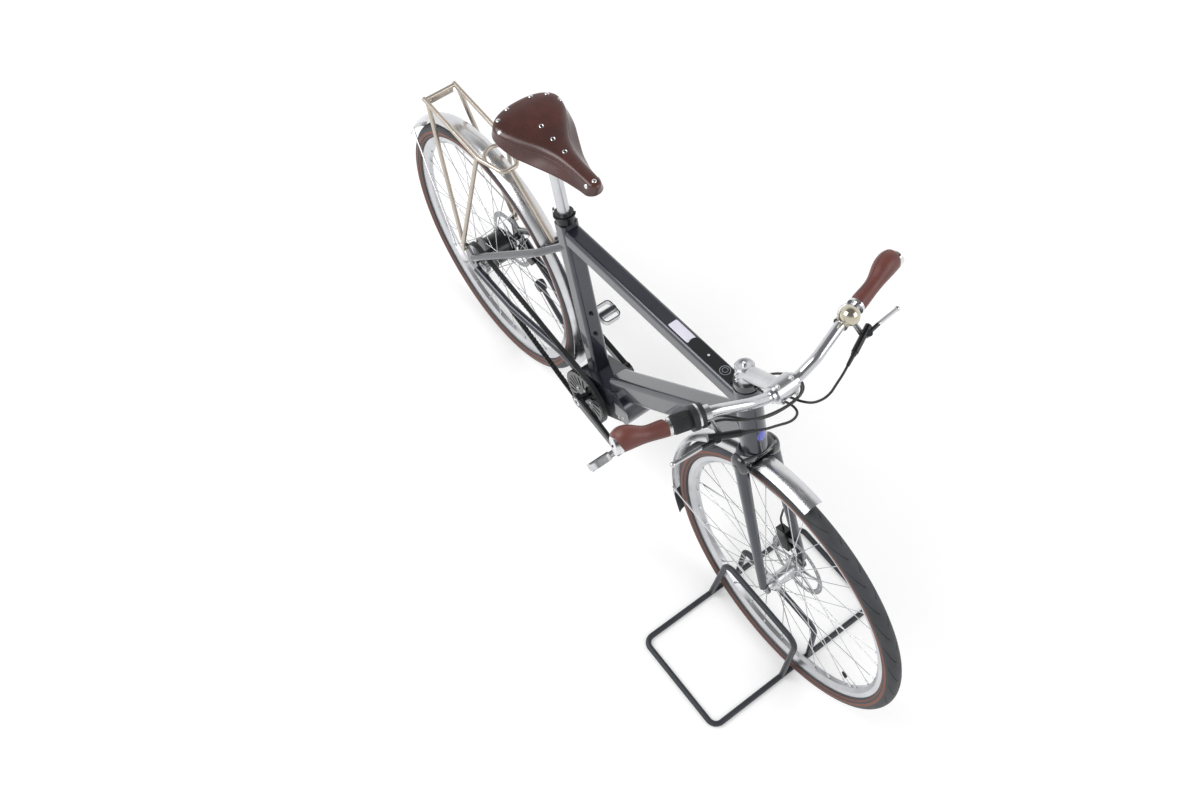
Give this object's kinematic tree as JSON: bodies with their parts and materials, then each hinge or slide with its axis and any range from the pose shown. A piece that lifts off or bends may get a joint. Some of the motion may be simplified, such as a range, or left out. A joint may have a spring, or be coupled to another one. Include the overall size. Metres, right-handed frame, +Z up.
{
  "type": "electric bicycle",
  "caption": "City electric bicycle with a mid motor, belt drive, hub gear, mudguards and rear rack, its front wheel held in a wire floor stand.",
  "frame": {"origin": "on the floor under the middle of the bounding box, which spans the rear tyre and the front tyre and mudguard", "axes": "+X forward, +Y to the rider's left, +Z up"},
  "size_m": [1.806, 0.6886, 1.0774],
  "materials": {
    "frame_paint": "metallic slate grey, semi-gloss clear coat",
    "motor_black": "satin black die casting",
    "black_alloy": "black anodised",
    "silver_alloy": "satin silver anodised",
    "chromed_steel": "bright",
    "saddle_leather": "oxblood, waxed",
    "polished_alloy": "polished",
    "rack_paint": "champagne, satin",
    "belt_rubber": "matt black",
    "fork_black": "gloss black",
    "grip_leather": "stitched, brown",
    "black_plastic": "ribbed, matt",
    "bell_brass": "pale plated",
    "stand_black": "black powder coat",
    "tyre_rubber": "dusty black",
    "spoke_steel": "drawn",
    "rotor_steel": "ground",
    "pulley_steel": "machined",
    "pedal_alloy": "satin",
    "button_black": "gloss, with a pale ring",
    "flap_rubber": "moulded, matt",
    "hose_black": "smooth"
  },
  "bodies": {
    "front_fork": {"fork_crown": "fork_black", "fork_blades": "frame_paint", "headset": "black_alloy", "stem": "polished_alloy", "handlebar": "polished_alloy", "grips": "grip_leather", "grip_rings": "chromed_steel", "twist_shifter": "black_plastic", "brake_lever_right": "black_alloy", "brake_lever_left": "black_alloy", "bell": "bell_brass", "front_mudguard": "polished_alloy", "front_mudguard_stays": "chromed_steel", "front_caliper": "black_alloy", "stand_base": "stand_black", "stand_hoops": "stand_black", "mudguard_flap": "flap_rubber", "hose_right": "hose_black", "hose_left": "hose_black", "gear_cable_a": "hose_black", "gear_cable_b": "hose_black"},
    "frame": {"seat_tube": "frame_paint", "top_tube": "frame_paint", "down_tube": "frame_paint", "head_tube": "frame_paint", "drive_unit": "motor_black", "motor_shell": "frame_paint", "chainstays": "frame_paint", "seatstays": "frame_paint", "seat_clamp": "black_alloy", "seatpost": "silver_alloy", "saddle_frame": "chromed_steel", "saddle_leather": "saddle_leather", "rear_mudguard": "polished_alloy", "rear_mudguard_stays": "chromed_steel", "rack_top": "rack_paint", "rack_legs": "rack_paint", "rear_caliper": "black_alloy", "belt": "belt_rubber", "top_tube_control": "button_black", "kickstand_bracket": "black_alloy"},
    "front_wheel": {"front_tyre": "tyre_rubber", "front_rim": "silver_alloy", "front_spokes": "spoke_steel", "front_hub": "silver_alloy", "front_rotor": "rotor_steel"},
    "rear_wheel": {"rear_tyre": "tyre_rubber", "rear_rim": "silver_alloy", "rear_spokes": "spoke_steel", "rear_hub": "black_alloy", "rear_rotor": "rotor_steel"},
    "rear_pulley": {"rear_pulley": "pulley_steel"},
    "cranks": {"front_pulley": "black_alloy", "crank_right": "black_alloy", "crank_left": "black_alloy"},
    "pedal_right": {"pedal_right": "pedal_alloy"},
    "pedal_left": {"pedal_left": "pedal_alloy"},
    "kickstand": {"kickstand": "stand_black"}
  },
  "joints": [
    {"name": "steering", "type": "hinge", "parent": "front_fork", "child": "frame", "pos_m": [0.50933, 0, 0.33672], "axis": [0.3173, 0, -0.9483], "range_deg": [-40, 40]},
    {"name": "front_wheel_spin", "type": "hinge", "parent": "front_fork", "child": "front_wheel", "pos_m": [0.552, 0, 0.351], "axis": [0, 1, 0], "continuous": true},
    {"name": "rear_wheel_spin", "type": "hinge", "parent": "frame", "child": "rear_wheel", "pos_m": [-0.552, 0, 0.351], "axis": [0, 1, 0], "continuous": true},
    {"name": "rear_pulley_spin", "type": "hinge", "parent": "frame", "child": "rear_pulley", "pos_m": [-0.552, -0.052, 0.351], "axis": [0, 1, 0], "continuous": true},
    {"name": "crank_spin", "type": "hinge", "parent": "frame", "child": "cranks", "pos_m": [-0.1014, 0, 0.285], "axis": [0, 1, 0], "continuous": true},
    {"name": "pedal_right_spin", "type": "hinge", "parent": "cranks", "child": "pedal_right", "pos_m": [0.06795, -0.125, 0.29982], "axis": [0, 1, 0], "continuous": true},
    {"name": "pedal_left_spin", "type": "hinge", "parent": "cranks", "child": "pedal_left", "pos_m": [-0.27075, 0.125, 0.27018], "axis": [0, 1, 0], "continuous": true},
    {"name": "kickstand_hinge", "type": "hinge", "parent": "frame", "child": "kickstand", "pos_m": [-0.272, 0.037, 0.233], "axis": [-0.1634, -0.942, -0.2933], "range_deg": [0, 85]}
  ],
  "couplings": [
    {"joint": "rear_pulley_spin", "follows": "crank_spin", "ratio": 1.75}
  ]
}
